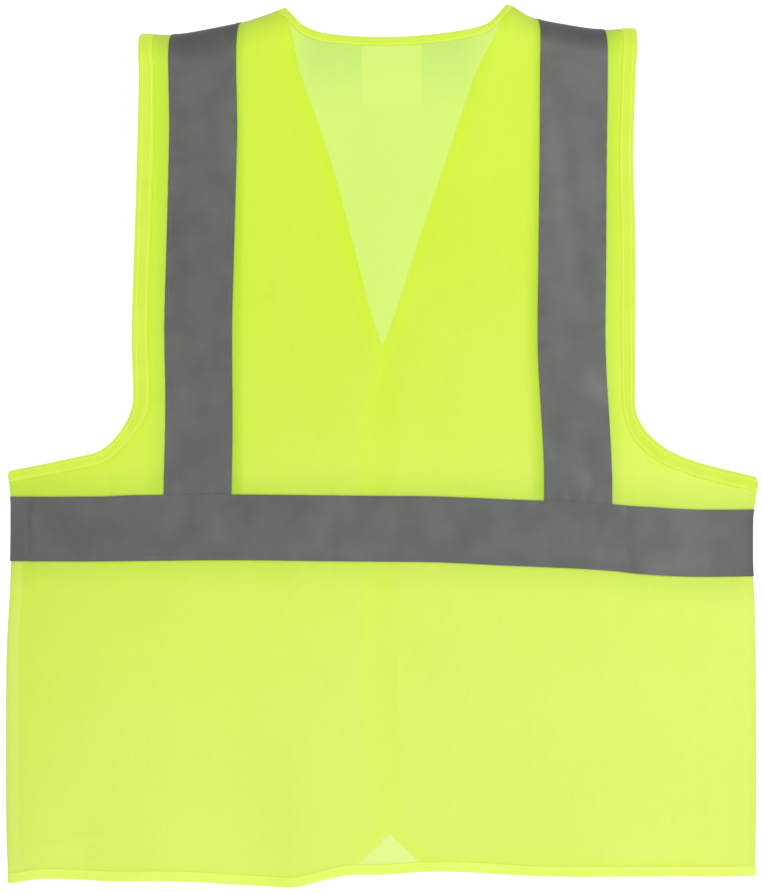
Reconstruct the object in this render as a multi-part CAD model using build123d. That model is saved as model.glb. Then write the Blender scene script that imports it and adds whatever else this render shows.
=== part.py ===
from build123d import *
import math
import os

# High visibility vest, sleeveless, open at the front, as it hangs from the shoulders of a
# hanger. The wearer faces +Y, the back panel is on the -Y side, +Z is up and the wearer's
# left is on the -X side. The origin is the point midway between the two neck points.
# All lengths are millimetres.

# ---- Outline, seen square on to the back -----------------------------------------------
HALF_WIDTH = 281.0            # centre line to the side fold
HEM_Z = -657.0                # bottom edge
NECK_HALF = 83.0              # centre line to the neck point of a shoulder
NECK_DROP = 23.3              # how far the back neckline dips below the neck points
NECK_MID_RADIUS = 340.0       # the flat middle of the back neckline
NECK_MID_HALF = 45.0          # where that flat middle ends
SHOULDER_HALF = 187.0         # centre line to the outer end of a shoulder
SHOULDER_DROP = 19.0          # fall of the shoulder from the neck point to its end
ARM_HALF = 190.0              # centre line to the armhole's straight edge, low down
UNDERARM_Z = -350.0           # armhole's end at the side fold
UNDERARM_RISE = 22.4          # how far the underarm edge climbs before it turns up
UNDERARM_RADIUS = 40.0        # the armhole's lower corner
V_DEPTH = 253.0               # neck points down to where the two front edges cross
OVERLAP = 25.0                # the fronts lap over each other by this much
CORNER_CUT_TOP = 45.0         # the fronts' lower corners are cut off from this high
CORNER_CUT_OUT = 30.0         # and this far out from the centre line
CORNER_ROUND = 12.0           # both ends of that cut are rounded
V_ROUND = 60.0                # the turn from the V edge into the straight front edge

# ---- Depth -------------------------------------------------------------------------------
HALF_DEPTH = 24.0             # outer face of the back or front to the middle plane
FLAT_HALF = 190.0             # the back and front are flat out to here, then taper
FOLD_RADIUS = 5.0             # outer radius of the side folds

# ---- Layers ------------------------------------------------------------------------------
FABRIC = 0.8
TAPE = 0.5
BINDING = 0.6
SEAM = 0.8
PATCH = 1.2
PATCH_GAP = 0.3               # between the hook patch and the loop patch
LABEL = 0.3

# ---- Trim --------------------------------------------------------------------------------
TAPE_WIDTH = 50.0
WAIST_TOP_Z = -372.0
BRACE_TOP_X = 140.0           # centre of a brace tape at the shoulder
BRACE_LOW_X = 143.0           # and at the waist tape
NECK_BAND = 6.0
ARM_BAND = 10.0
HEM_BAND = 7.0
FRONT_BAND = 8.0
SIDE_SEAM_WIDTH = 9.0
SHOULDER_SEAM_WIDTH = 12.0
PATCH_WIDTH = 16.0
PATCH_HEIGHT = 25.0
PATCH_X = 5.0                 # the patches sit beside the right front's binding
UPPER_PATCH_Z = -305.0
LOWER_PATCH_Z = -438.0
LABEL_SIZE = 45.0
LABEL_TOP_Z = -29.0
LABEL_SEAM_HEIGHT = 4.5
LABEL_GAP = 0.3               # between the hanging label and its sewn top edge

# ---- Where the fronts swing open ---------------------------------------------------------
FLAP_TOP_Z = -30.0            # a front is free to swing below this
HINGE_TOP_X = 84.0            # the fold line at FLAP_TOP_Z
HINGE_LOW_X = 110.0           # and at the hem
FOLD_GAP = 0.6                # the two parts of a front stay this far apart at the fold
AXIS_PROUD = 1.0              # the fold's axis stands this far outside the front's face
LAP_OFFSET = FABRIC + 2 * PATCH + PATCH_GAP   # the left front lies this far outside

# ---- Worked out ----------------------------------------------------------------------------
TAPER_RUN = HALF_WIDTH - FOLD_RADIUS - FLAT_HALF
TAPER_RADIUS = (TAPER_RUN**2 + HALF_DEPTH**2 - FOLD_RADIUS**2) / (
    2 * (HALF_DEPTH - FOLD_RADIUS)
)
TAPER_END_DEG = math.degrees(math.atan2(TAPER_RADIUS - HALF_DEPTH, TAPER_RUN))
SHOULDER_RUN = SHOULDER_HALF - NECK_HALF
SHOULDER_DEG = math.degrees(math.atan2(SHOULDER_DROP, SHOULDER_RUN))
V_SLOPE = NECK_HALF / V_DEPTH
WAIST_LOW_Z = WAIST_TOP_Z - TAPE_WIDTH
FAR = 60.0                    # how far a cutting shape reaches past the vest
SHOULDER_JOIN_Z = -50.0       # the straight body's layers give way to the shoulders' here


def hinge_x(z):
    """The fold line's distance from the centre line at height z."""
    share = (FLAP_TOP_Z - z) / (FLAP_TOP_Z - HEM_Z)
    return HINGE_TOP_X + share * (HINGE_LOW_X - HINGE_TOP_X)


def flipped(shape):
    """The same piece on the wearer's left."""
    return mirror(shape, about=Plane.YZ)


# ---- Flat outlines in the XZ plane --------------------------------------------------------
def upright(points):
    """A polygon from (x, z) points, standing in the XZ plane."""
    return make_face(Polyline(*[(x, 0, z) for x, z in points], close=True))


def through(face, low_y=-FAR, high_y=FAR):
    """The outline pushed through from low_y to high_y."""
    return extrude(Pos(0, low_y, 0) * face, high_y - low_y, dir=(0, 1, 0))


def slab(low_x, high_x, low_z, high_z, low_y=-FAR, high_y=FAR):
    corners = [(low_x, low_z), (high_x, low_z), (high_x, high_z), (low_x, high_z)]
    return through(upright(corners), low_y, high_y)


# ---- Layers that follow the vest's outer face -----------------------------------------------
def level_section(proud):
    """The vest's level section, pushed out by proud."""
    depth = HALF_DEPTH + proud
    turn = 90 - TAPER_END_DEG
    edges = []
    for side in (-1, 1):
        edges.append(Line((-FLAT_HALF, side * depth), (FLAT_HALF, side * depth)))
        for end in (-1, 1):
            centre = (end * FLAT_HALF, side * (HALF_DEPTH - TAPER_RADIUS))
            radius = TAPER_RADIUS + proud
            edges.append(CenterArc(centre, radius, 90 * side, -side * end * turn))
    for end in (-1, 1):
        centre = (end * (HALF_WIDTH - FOLD_RADIUS), 0)
        start = (0 if end > 0 else 180) - TAPER_END_DEG
        edges.append(CenterArc(centre, FOLD_RADIUS + proud, start, 2 * TAPER_END_DEG))
    return make_face(edges)


def shoulder_section(proud):
    """The section square to the shoulder line: a half round on two straight legs."""
    radius = HALF_DEPTH + proud
    leg = 3 * HALF_DEPTH
    legs = Polyline((-radius, 0), (-radius, -leg), (radius, -leg), (radius, 0))
    return make_face([CenterArc((0, 0), radius, 0, 180), legs])


def shoulder_layer(inner, outer):
    """The right shoulder's share of a layer, down to SHOULDER_JOIN_Z."""
    slope = math.radians(SHOULDER_DEG)
    along = Plane(
        origin=(NECK_HALF, 0, -HALF_DEPTH),
        x_dir=(0, 1, 0),
        z_dir=(math.cos(slope), 0, -math.sin(slope)),
    )
    # The legs end in the open: the straight part below takes over from them.
    arch = shoulder_section(outer) - shoulder_section(inner)
    run = extrude(along * arch, HALF_WIDTH, both=True)
    return run & slab(0, FLAT_HALF, SHOULDER_JOIN_Z, FAR)


def layer(inner, outer):
    """The space between two offsets of the vest's outer face, over its whole height."""
    ring = level_section(outer) - level_section(inner)
    low = HEM_Z - FAR
    body = extrude(Pos(0, 0, low) * ring, SHOULDER_JOIN_Z - low, dir=(0, 0, 1))
    right = shoulder_layer(inner, outer)
    return body + right + flipped(right)


# ---- Outlines of the pieces --------------------------------------------------------------
def near(face, x, z):
    """The corner of an upright face that is closest to (x, z)."""
    return face.vertices().sort_by_distance((x, 0, z))[0]


def armhole_cut(grow):
    """What the right armhole takes away, grown by the width of its band."""
    slope = UNDERARM_RISE / (HALF_WIDTH - ARM_HALF)
    out = HALF_WIDTH + FAR
    low = UNDERARM_Z + UNDERARM_RISE - grow * math.hypot(1, slope) - grow * slope
    inner_low = ARM_HALF - grow
    inner_top = SHOULDER_HALF - grow
    face = upright(
        [
            (inner_low, low),
            (out, low - slope * (out - inner_low)),
            (out, FAR),
            (inner_top, FAR),
            (inner_top, -SHOULDER_DROP),
        ]
    )
    return fillet(near(face, inner_low, low), UNDERARM_RADIUS + grow)


def neck_cut(grow):
    """What the back neckline takes away, grown by the width of its band."""
    lean = math.asin(NECK_MID_HALF / NECK_MID_RADIUS)
    turn_x = NECK_MID_HALF
    turn_z = NECK_MID_RADIUS * (1 - math.cos(lean)) - NECK_DROP
    run = NECK_HALF - turn_x
    radius = (run**2 + turn_z**2) / (2 * (-turn_z * math.cos(lean) - run * math.sin(lean)))
    centre_x = turn_x - radius * math.sin(lean)
    centre_z = turn_z + radius * math.cos(lean)
    middle = (0, NECK_MID_RADIUS - NECK_DROP)
    lean_deg = math.degrees(lean)
    end = math.atan2(-centre_z, NECK_HALF - centre_x)
    end_deg = math.degrees(end)
    wide = radius + grow
    end_x = centre_x + wide * math.cos(end)
    end_z = centre_z + wide * math.sin(end)
    edges = [
        CenterArc(middle, NECK_MID_RADIUS + grow, -90 - lean_deg, 2 * lean_deg),
        CenterArc((centre_x, centre_z), wide, lean_deg - 90, end_deg + 90 - lean_deg),
        CenterArc((-centre_x, centre_z), wide, -180 - end_deg, end_deg + 90 - lean_deg),
        Line((end_x, end_z), (end_x, FAR)),
        Line((-end_x, FAR), (end_x, FAR)),
        Line((-end_x, end_z), (-end_x, FAR)),
    ]
    return Rot(90, 0, 0) * make_face(edges)


def v_line_x(z, grow=0.0):
    """The right front's V edge at height z, moved into the cloth by grow."""
    return NECK_HALF + V_SLOPE * z + grow * math.hypot(1, V_SLOPE)


def front_outline(inset):
    """The right front from its free edge outwards, its edge moved in by inset."""
    edge_x = -OVERLAP / 2 + inset
    turn_z = -(NECK_HALF + inset * math.hypot(1, V_SLOPE) - edge_x) / V_SLOPE
    cut_slope = CORNER_CUT_TOP / (CORNER_CUT_OUT + OVERLAP / 2)
    cut_low_x = CORNER_CUT_OUT + inset * math.hypot(1, cut_slope) / cut_slope
    cut_top_z = HEM_Z + cut_slope * (cut_low_x - edge_x)
    far_x = HALF_WIDTH + FAR
    face = upright(
        [
            (v_line_x(FAR, inset), FAR),
            (far_x, FAR),
            (far_x, HEM_Z),
            (cut_low_x, HEM_Z),
            (edge_x, cut_top_z),
            (edge_x, turn_z),
        ]
    )
    face = fillet(near(face, edge_x, turn_z), V_ROUND + inset)
    face = fillet(near(face, edge_x, cut_top_z), CORNER_ROUND)
    return fillet(near(face, cut_low_x, HEM_Z), CORNER_ROUND)


def fold_side(inboard):
    """All that lies inboard of the right front's fold line, or outboard of it."""
    shift = -FOLD_GAP / 2 if inboard else FOLD_GAP / 2
    far_x = -FAR if inboard else HALF_WIDTH + FAR
    low_z = HEM_Z - FAR
    return upright(
        [
            (hinge_x(FLAP_TOP_Z) + shift, FLAP_TOP_Z),
            (hinge_x(low_z) + shift, low_z),
            (far_x, low_z),
            (far_x, FLAP_TOP_Z),
        ]
    )


# ---- Shared forms ----------------------------------------------------------------------------
cloth_layer = layer(-FABRIC, 0)
tape_layer = layer(0, TAPE)
binding_layer = layer(0, BINDING)
seam_layer = layer(-FABRIC - SEAM, -FABRIC)
back_half = slab(-HALF_WIDTH - FAR, HALF_WIDTH + FAR, HEM_Z - FAR, FAR, high_y=0)
front_right = slab(0, HALF_WIDTH + FAR, HEM_Z, FAR, low_y=0)
above_hem = slab(-HALF_WIDTH - FAR, HALF_WIDTH + FAR, HEM_Z, FAR)
hem_strip = slab(-HALF_WIDTH - FAR, HALF_WIDTH + FAR, HEM_Z, HEM_Z + HEM_BAND)
waist_strip = slab(-HALF_WIDTH - FAR, HALF_WIDTH + FAR, WAIST_LOW_Z, WAIST_TOP_Z)
right_armhole = through(armhole_cut(0))
neck_hole = through(neck_cut(0))
side_of_fold = through(fold_side(inboard=False)) + slab(
    NECK_HALF - FAR, HALF_WIDTH + FAR, FLAP_TOP_Z, FAR
)


# ---- Back --------------------------------------------------------------------------------------
def back_panel():
    cloth = cloth_layer & back_half & above_hem
    return cloth - right_armhole - flipped(right_armhole) - neck_hole


def waist_tape_back():
    return tape_layer & back_half & waist_strip


def back_hem_binding():
    return binding_layer & back_half & hem_strip


# ---- The fixed part of the right front --------------------------------------------------------
def front_side():
    cloth = cloth_layer & front_right & through(front_outline(0)) & side_of_fold
    return cloth - right_armhole


def waist_tape_side():
    return tape_layer & front_right & waist_strip & side_of_fold


def hem_binding_side():
    return binding_layer & front_right & hem_strip & side_of_fold


# ---- Trim over the shoulder and round the edges -------------------------------------------------
def brace_tape():
    """The right brace tape, from the waist tape at the back to the waist tape in front."""
    half = TAPE_WIDTH / 2
    run = through(
        upright(
            [
                (BRACE_LOW_X - half, WAIST_TOP_Z),
                (BRACE_LOW_X + half, WAIST_TOP_Z),
                (BRACE_TOP_X + half, 0),
                (BRACE_TOP_X + half, FAR),
                (BRACE_TOP_X - half, FAR),
                (BRACE_TOP_X - half, 0),
            ]
        )
    )
    return tape_layer & run


def armhole_binding():
    band = through(armhole_cut(ARM_BAND)) - right_armhole
    return binding_layer & band & slab(FLAT_HALF - FAR, HALF_WIDTH + FAR, HEM_Z, FAR)


def neck_binding():
    """Round the back neckline and down the first stretch of both front edges."""
    back = binding_layer & back_half & (through(neck_cut(NECK_BAND)) - neck_hole)
    edge = through(front_outline(0)) - through(front_outline(NECK_BAND))
    front = binding_layer & front_right & edge & slab(0, HALF_WIDTH, FLAP_TOP_Z, FAR)
    return back + front + flipped(front)


def side_seam():
    """The seam allowance inside the right side fold, on the back's side of it."""
    high_x = HALF_WIDTH - FOLD_RADIUS
    strip = slab(high_x - SIDE_SEAM_WIDTH, high_x, HEM_Z + HEM_BAND, UNDERARM_Z - ARM_BAND)
    return seam_layer & strip & back_half


def shoulder_seam():
    """The seam allowance under the right shoulder's ridge."""
    half = SHOULDER_SEAM_WIDTH / 2
    low_x = NECK_HALF + NECK_BAND
    high_x = SHOULDER_HALF - ARM_BAND
    return seam_layer & slab(low_x, high_x, -2 * HALF_DEPTH, FAR, -half, half)


def label_seam():
    """The label's sewn top edge, inside the back."""
    inner = -HALF_DEPTH + FABRIC
    low_z = LABEL_TOP_Z + LABEL_GAP
    half = LABEL_SIZE / 2
    return slab(-half, half, low_z, low_z + LABEL_SEAM_HEIGHT, inner, inner + LABEL)


def care_label():
    """The hanging label, clear of the back by its own thickness."""
    inner = -HALF_DEPTH + FABRIC + LABEL
    half = LABEL_SIZE / 2
    return slab(-half, half, LABEL_TOP_Z - LABEL_SIZE, LABEL_TOP_Z, inner, inner + LABEL)


# ---- The swinging part of the right front ---------------------------------------------------------
# A swinging part is flat, so it is cut straight from its outline.
def flap_piece(outline, inner, outer, lap):
    """A flat piece of the right front between two depths of the front's face."""
    low_y = HALF_DEPTH + lap + inner
    return through(outline, low_y, HALF_DEPTH + lap + outer)


def flap_outline():
    return front_outline(0) & fold_side(inboard=True)


def flap_cloth(lap):
    return flap_piece(flap_outline(), -FABRIC, 0, lap)


def flap_waist_tape(lap):
    """The waist tape's last stretch, which ends at the front edge's binding."""
    outline = front_outline(FRONT_BAND) & fold_side(inboard=True)
    return flap_piece(outline, 0, TAPE, lap) & waist_strip


def flap_hem_binding(lap):
    return flap_piece(flap_outline(), 0, BINDING, lap) & hem_strip


def flap_edge_binding(lap):
    """Down the V edge, the straight edge and the cut corner to the hem binding."""
    band = flap_outline() - front_outline(FRONT_BAND)
    return flap_piece(band, 0, BINDING, lap) - hem_strip


def patch(centre_z, inner_y):
    low_x = PATCH_X - PATCH_WIDTH / 2
    low_z = centre_z - PATCH_HEIGHT / 2
    high_z = low_z + PATCH_HEIGHT
    return slab(low_x, low_x + PATCH_WIDTH, low_z, high_z, inner_y, inner_y + PATCH)


# ---- Every sub-part by name ---------------------------------------------------------------------
parts = {
    "back_panel": back_panel(),
    "waist_tape_back": waist_tape_back(),
    "back_hem_binding": back_hem_binding(),
    "neck_binding": neck_binding(),
    "label_seam": label_seam(),
    "care_label": care_label(),
}

paired = {
    "front_side_panel": front_side(),
    "brace_tape": brace_tape(),
    "waist_tape_side": waist_tape_side(),
    "side_hem_binding": hem_binding_side(),
    "armhole_binding": armhole_binding(),
    "side_seam": side_seam(),
    "shoulder_seam": shoulder_seam(),
}
for name, shape in paired.items():
    parts[f"right_{name}"] = shape
    parts[f"left_{name}"] = flipped(shape)

# The left front laps over the right one.
for side, lap in (("right", 0.0), ("left", LAP_OFFSET)):
    pieces = {
        "front_flap": flap_cloth(lap),
        "flap_waist_tape": flap_waist_tape(lap),
        "flap_hem_binding": flap_hem_binding(lap),
        "front_edge_binding": flap_edge_binding(lap),
    }
    for name, shape in pieces.items():
        parts[f"{side}_{name}"] = flipped(shape) if side == "left" else shape

for level, centre_z in (("upper", UPPER_PATCH_Z), ("lower", LOWER_PATCH_Z)):
    parts[f"{level}_loop_patch"] = patch(centre_z, HALF_DEPTH)
    parts[f"{level}_hook_patch"] = patch(centre_z, HALF_DEPTH + PATCH + PATCH_GAP)

os.makedirs("parts", exist_ok=True)
for name, shape in parts.items():
    export_step(shape, f"parts/{name}.step")
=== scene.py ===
import math

import bpy
import numpy as np
from mathutils.geometry import delaunay_2d_cdt
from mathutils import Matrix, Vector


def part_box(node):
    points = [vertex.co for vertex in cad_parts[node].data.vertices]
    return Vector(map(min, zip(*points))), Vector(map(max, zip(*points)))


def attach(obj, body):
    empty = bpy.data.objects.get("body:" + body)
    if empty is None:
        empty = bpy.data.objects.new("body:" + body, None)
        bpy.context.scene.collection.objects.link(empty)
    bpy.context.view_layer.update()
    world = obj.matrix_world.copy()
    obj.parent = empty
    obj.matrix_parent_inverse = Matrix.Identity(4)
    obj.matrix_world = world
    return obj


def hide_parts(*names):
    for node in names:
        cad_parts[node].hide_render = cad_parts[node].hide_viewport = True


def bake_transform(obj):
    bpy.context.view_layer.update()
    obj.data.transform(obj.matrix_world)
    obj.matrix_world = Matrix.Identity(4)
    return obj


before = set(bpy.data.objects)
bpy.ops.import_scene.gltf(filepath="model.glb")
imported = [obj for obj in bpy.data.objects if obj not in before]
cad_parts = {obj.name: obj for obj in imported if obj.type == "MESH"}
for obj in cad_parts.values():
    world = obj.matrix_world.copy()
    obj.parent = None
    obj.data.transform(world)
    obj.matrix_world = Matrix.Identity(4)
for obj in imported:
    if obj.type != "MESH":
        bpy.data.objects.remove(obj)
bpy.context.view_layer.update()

# A high visibility vest, hanging. Every piece is cut from a flat pattern, whose x and z are the
# vest's own wherever it is flat, and place() wraps the pattern round the sides and shoulders.
# Lengths are metres.

MM = 0.001

# ---- Sizes of the CAD model ----------------------------------------------------------------------
back_low, back_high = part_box("back_panel")
waist_low, waist_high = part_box("waist_tape_back")
label_low, label_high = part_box("care_label")
HALF_WIDTH = back_high.x
HALF_DEPTH = -back_low.y
HEM_Z = back_low.z
WAIST_LOW_Z = waist_low.z
WAIST_TOP_Z = waist_high.z
NECK_HALF = 83 * MM
NECK_DROP = 23.3 * MM
NECK_MID_RADIUS = 340 * MM
NECK_MID_HALF = 45 * MM
SHOULDER_HALF = 187 * MM
SHOULDER_SLOPE = math.atan2(19, 104)
ARM_HALF = 190 * MM
UNDERARM_Z = -350 * MM
UNDERARM_RISE = 22.4 * MM
UNDERARM_RADIUS = 40 * MM
V_SLOPE = 83 / 253
OVERLAP_HALF = 12.5 * MM
CORNER_CUT_TOP = 45 * MM
CORNER_CUT_OUT = 30 * MM
FLAT_HALF = 190 * MM
FOLD_RADIUS = 5 * MM
TAPE_HALF = 25 * MM
BRACE_TOP_X = 140 * MM
BRACE_LOW_X = 143 * MM
FLAP_TOP_Z = -30 * MM
HINGE_TOP_X = 84 * MM
HINGE_LOW_X = 110 * MM
LAP = 3.5 * MM
NECK_BAND = 6 * MM
ARM_BAND = 10 * MM
HEM_BAND = 7 * MM
FRONT_BAND = 8 * MM

TAPER_RUN = HALF_WIDTH - FOLD_RADIUS - FLAT_HALF
TAPER_RADIUS = (TAPER_RUN**2 + HALF_DEPTH**2 - FOLD_RADIUS**2) / (
    2 * (HALF_DEPTH - FOLD_RADIUS)
)
TAPER_TURN = math.atan2(TAPER_RUN, TAPER_RADIUS - HALF_DEPTH)
TAPER_END = FLAT_HALF + TAPER_RADIUS * TAPER_TURN
SIDE_X = TAPER_END + FOLD_RADIUS * (math.pi / 2 - TAPER_TURN)   # the side fold's pattern x
RIDGE_UP = HALF_DEPTH * math.pi / 2      # shoulder line above the start of the shoulder's round
NECK_END = NECK_HALF + 3.2 * MM          # the shoulder line's end at the neck, in the pattern

# ---- How the layers lie on each other, outwards from the cloth's outer face ----------------------
CLOTH = 0.45 * MM
TAPE_IN = 0.06 * MM
TAPE_OUT = 0.42 * MM

BACK = -1.0
FRONT = 1.0


def smooth(t):
    t = np.clip(t, 0.0, 1.0)
    return t * t * (3.0 - 2.0 * t)


def bell(t):
    return np.exp(-t * t)


def plateau(t):
    """Like a bell, but nearly level within half its width."""
    return np.exp(-(t**4))


def waves(x, z, seed, count, lengths, heading, spread):
    """A few long-crested waves added up, mostly between -1.5 and 1.5."""
    draw = np.random.default_rng(seed)
    total = np.zeros_like(x)
    for _ in range(count):
        length = draw.uniform(*lengths)
        turn = heading + draw.normal(0.0, spread)
        phase = draw.uniform(0.0, 2 * math.pi)
        along = x * math.cos(turn) + z * math.sin(turn)
        total = total + np.cos(along * 2 * math.pi / length + phase)
    return total / math.sqrt(count)


# ---- The hang of the cloth -----------------------------------------------------------------------
def hinge_x(z):
    """How far from the centre line a front folds open, at height z."""
    share = (FLAP_TOP_Z - z) / (FLAP_TOP_Z - HEM_Z)
    return HINGE_TOP_X + share * (HINGE_LOW_X - HINGE_TOP_X)


def brace_x(z):
    """Distance of a brace tape's middle from the centre line at height z."""
    share = np.clip(z / WAIST_TOP_Z, 0.0, 1.0)
    return BRACE_TOP_X + share * (BRACE_LOW_X - BRACE_TOP_X)


def shoulder_up(run, z):
    """How far a pattern point is above the start of the shoulder's round."""
    return (run - NECK_HALF) * math.sin(SHOULDER_SLOPE) + (z + HALF_DEPTH) * math.cos(
        SHOULDER_SLOPE
    )


def pucker(x, z):
    """Small gathers along the sewn edges of the tapes, damped under the tapes themselves."""
    run = np.abs(x)
    to_waist = np.abs(z - (WAIST_TOP_Z + WAIST_LOW_Z) / 2) - TAPE_HALF
    to_brace = np.abs(run - brace_x(z)) - TAPE_HALF
    to_brace = to_brace + 1.0 * (z < WAIST_TOP_Z - 10 * MM)      # far off below the waist tape
    slow = 1.6 * waves(x, z, 41, 4, (0.05, 0.13), 0.7, 1.5)
    total = np.zeros_like(x)
    for gap, along, seed in ((to_waist, x, 0.0), (to_brace, z, 2.0)):
        near = np.exp(-np.abs(gap) / (6 * MM)) * np.where(gap < 0, 0.35, 1.0)
        total = total + near * np.cos(along * 2 * math.pi / (13 * MM) + slow + seed)
    return 0.32 * MM * total


def wrinkle(x, z, face):
    """How far the hanging cloth stands out from its plain form."""
    run = np.abs(x)
    panel = np.where(face > 0, 1, 0)
    calm_top = smooth(-shoulder_up(run, z) / 0.07)
    calm_side = 1.0 - smooth((run - 0.225) / 0.05)
    calm_edge = 1.0 - smooth((run - 0.260) / 0.022)
    total = pucker(x, z) * calm_top * calm_edge
    for which in (0, 1):
        here = panel == which
        px, pz = x[here], z[here]
        sway = 1.2 * MM * waves(px, pz, 11 + which, 5, (0.16, 0.34), 0.6, 1.2)
        drop = smooth((WAIST_LOW_Z - pz) / 0.24)
        skirt = 3.0 * MM * drop * waves(px, pz, 23 + which, 4, (0.10, 0.19), 0.0, 0.12)
        pull = bell((np.abs(px) - 0.19) / 0.07) * bell((pz + 0.32) / 0.07)
        drag = 0.9 * MM * pull * waves(np.abs(px), pz, 31 + which, 3, (0.035, 0.06), 0.9, 0.2)
        crumple = 0.22 * MM * waves(px, pz, 37 + which, 9, (0.02, 0.05), 0.0, 3.0)
        crease = waves(px, pz, 53 + which, 3, (0.04, 0.07), 1.4, 0.2)
        bands = 0.8 * MM * bell((pz + 0.47) / 0.05) * crease
        rest = (sway + skirt) * calm_side[here] + (drag + crumple + bands) * calm_edge[here]
        total[here] += rest * calm_top[here]

    # The tape's dented left end and the crumpled lower left corner of the back, in millimetres.
    dent = 1.2 * bell((x + 0.255) / 0.012) - 3.0 * bell((x + 0.272) / 0.006)
    dent = dent - 1.6 * bell((x + 0.228) / 0.014) * bell((z + 0.388) / 0.014)
    dent = dent * plateau((z + 0.397) / 0.03)
    corner = bell((x + 0.235) / 0.045) * bell((z + 0.632) / 0.018)
    dent = dent + 1.0 * corner * waves(x, z, 61, 4, (0.012, 0.026), 1.5, 0.5)
    return total + dent * MM * (panel == 0)


def hem_hang(x):
    """How much higher than level this vest's hem hangs, in millimetres."""
    return (
        -6.2 * bell((x + 0.095) / 0.048)
        + 5.0 * bell((x - 0.045) / 0.060)
        + 2.8 * bell((x - 0.200) / 0.080)
        - 2.6 * bell((x + 0.210) / 0.045)
        - 6.5 * bell((x + 0.285) / 0.022)
        - 2.6 * bell((x + 0.065) / 0.018)
        + 2.4 * bell((x + 0.025) / 0.018)
    )


def lay(x, z, face):
    """The small sideways and up or down shifts of this vest's own hang, in its own plane."""
    # Where each shift acts: 1 there, 0 away from it.
    run = np.abs(x)
    front = np.where(face > 0, 1.0, 0.0) * smooth((0.265 - run) / 0.08)
    right = np.where(x > 0, 1.0, 0.0)
    rightward = smooth((x + 0.02) / 0.04)
    near_neck = smooth((z + 0.05) / 0.045)
    near_top = smooth((z + 0.16) / 0.14)
    near_hem = smooth((-0.52 - z) / 0.135)
    at_waist = smooth((-0.25 - z) / 0.15) * (1.0 - 0.85 * smooth((-0.43 - z) / 0.20))
    at_brace = smooth((run - 0.085) / 0.030) * smooth((0.193 - run) / 0.024)
    at_brace = at_brace * smooth((z + 0.50) / 0.08)
    at_arm = plateau((run - 0.192) / 0.022)
    v_edge = front * smooth((0.09 - run) / 0.02)
    skirt = plateau((z + 0.56) / 0.11)

    # Sideways, in millimetres: the whole vest's lean, its neck points, the brace tapes, the
    # armholes, the right end of the waist tape, the skirt, the underarms and the fronts' edges.
    left_brace = 2.2 * smooth((-0.02 - z) / 0.08) + 2.6 * smooth((-0.22 - z) / 0.12)
    right_brace = 5.8 * smooth((-0.24 - z) / 0.12)
    underarm = 2.4 * bell((z + 0.354) / 0.009) + 1.2 * bell((z + 0.367) / 0.006)
    dx = (
        2.3 - 5.5 * smooth(-z / 0.40)
        + (4.5 + 2.5 * right) * bell((run - 0.082) / 0.022) * near_neck
        + at_brace * np.where(x > 0, right_brace, left_brace)
        - 4.0 * front * np.sign(x) * at_brace * smooth((-0.05 - z) / 0.1)
        - 2.4 * at_arm * right * bell((z + 0.11) / 0.05)
        + 2.8 * at_arm * (1 - right) * bell((z + 0.295) / 0.035)
        + 3.2 * smooth((x - 0.15) / 0.12) * smooth((-0.335 - z) / 0.02)
        - 1.6 * smooth((x - 0.20) / 0.07) * plateau((z + 0.397) / 0.032)
        - 4.4 * smooth((-x - 0.12) / 0.14) * skirt
        + 1.6 * smooth((x - 0.12) / 0.14) * skirt
        + np.sign(x) * underarm * smooth((run - 0.255) / 0.02)
        + 7.0 * front * bell(x / 0.07) * near_hem
        + 2.6 * v_edge * (1 - rightward) * bell((z + 0.11) / 0.06)
        + (4.2 * rightward - 2.4) * v_edge * bell((z + 0.25) / 0.045)
    )

    # Up and down, in millimetres: the waist tape, the shoulders and neck points, the underarms,
    # the V's crossing and the hem.
    shoulder = 3.3 * smooth((run - 0.068) / 0.015) + 2.2 * x / SHOULDER_HALF
    shoulder = shoulder - 6.5 * plateau((run - 0.135) / 0.042)
    dz = (
        (3.5 - 11.5 * smooth((x - 0.02) / 0.22)) * at_waist
        + (1.4 * bell((x + 0.12) / 0.09) + 2.0 * bell((x - 0.16) / 0.05)) * at_waist
        - 4.5 * front * at_waist
        + shoulder * near_top
        + (1.8 * right - 0.4) * bell((run - 0.087) / 0.010) * near_neck
        - 2.6 * right * bell((x - 0.070) / 0.014) * near_neck
        - 5.5 * (1 - right) * smooth((run - 0.185) / 0.03) * bell((z + 0.33) / 0.03)
        + 4.5 * bell((x - 0.205) / 0.022) * bell((z + 0.325) / 0.032)
        + 2.2 * front * bell((x - 0.225) / 0.035) * bell((z + 0.335) / 0.03)
        - 3.6 * v_edge * bell((z + 0.25) / 0.06)
        + hem_hang(x) * near_hem
        - 6.0 * front * bell(x / 0.035) * near_hem
    )
    return x + dx * MM, z + dz * MM


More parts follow.
